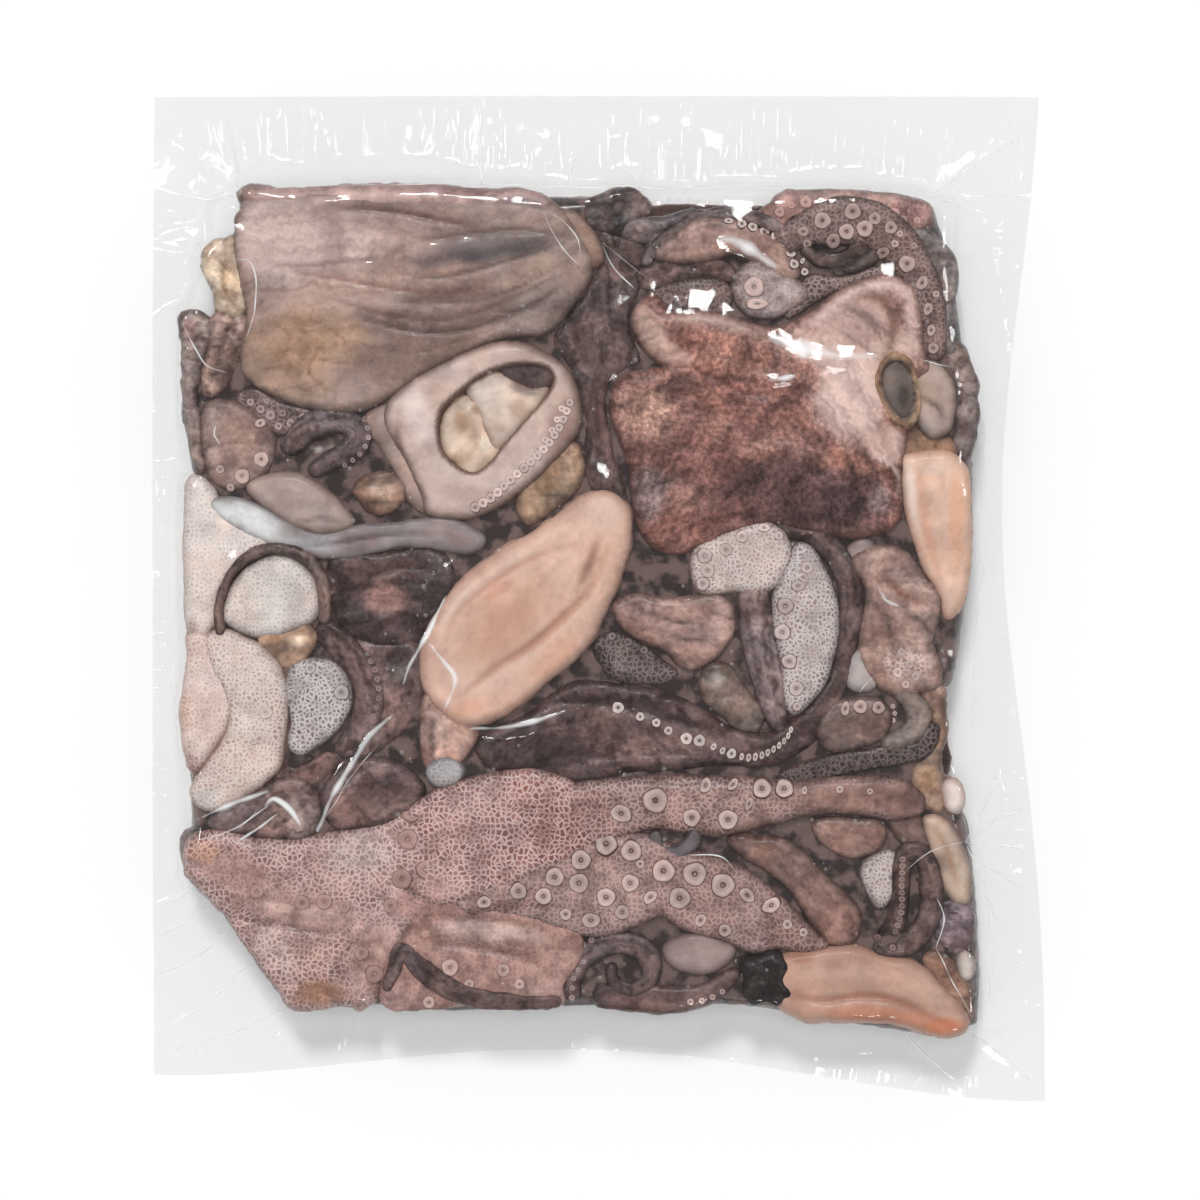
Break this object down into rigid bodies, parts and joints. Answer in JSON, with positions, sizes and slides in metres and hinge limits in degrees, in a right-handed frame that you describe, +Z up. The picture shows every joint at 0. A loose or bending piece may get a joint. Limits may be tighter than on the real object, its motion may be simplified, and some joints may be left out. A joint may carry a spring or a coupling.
{
  "type": "vacuum-packed raw octopus",
  "caption": "Clear sealed vacuum pouch packed flat with raw octopus mantles, arms and web, with a wide clear film border round a lumpy block.",
  "frame": {"origin": "middle of the pouch's box, on the surface that the pouch lies on", "axes": "+X to the pouch's right as shown, +Y to its sealed top edge, +Z up through its thickness"},
  "size_m": [0.271, 0.3054, 0.0251],
  "materials": {
    "film": "clear glossy vacuum pouch film, crinkled",
    "skin": "wet mottled grey-brown octopus skin",
    "flesh": "wet pale pink octopus flesh",
    "peach": "wet smooth peach-coloured flesh",
    "juice": "dark brown juice between the pieces"
  },
  "bodies": {
    "root": {"vacuum_pouch": "film"}
  },
  "joints": []
}
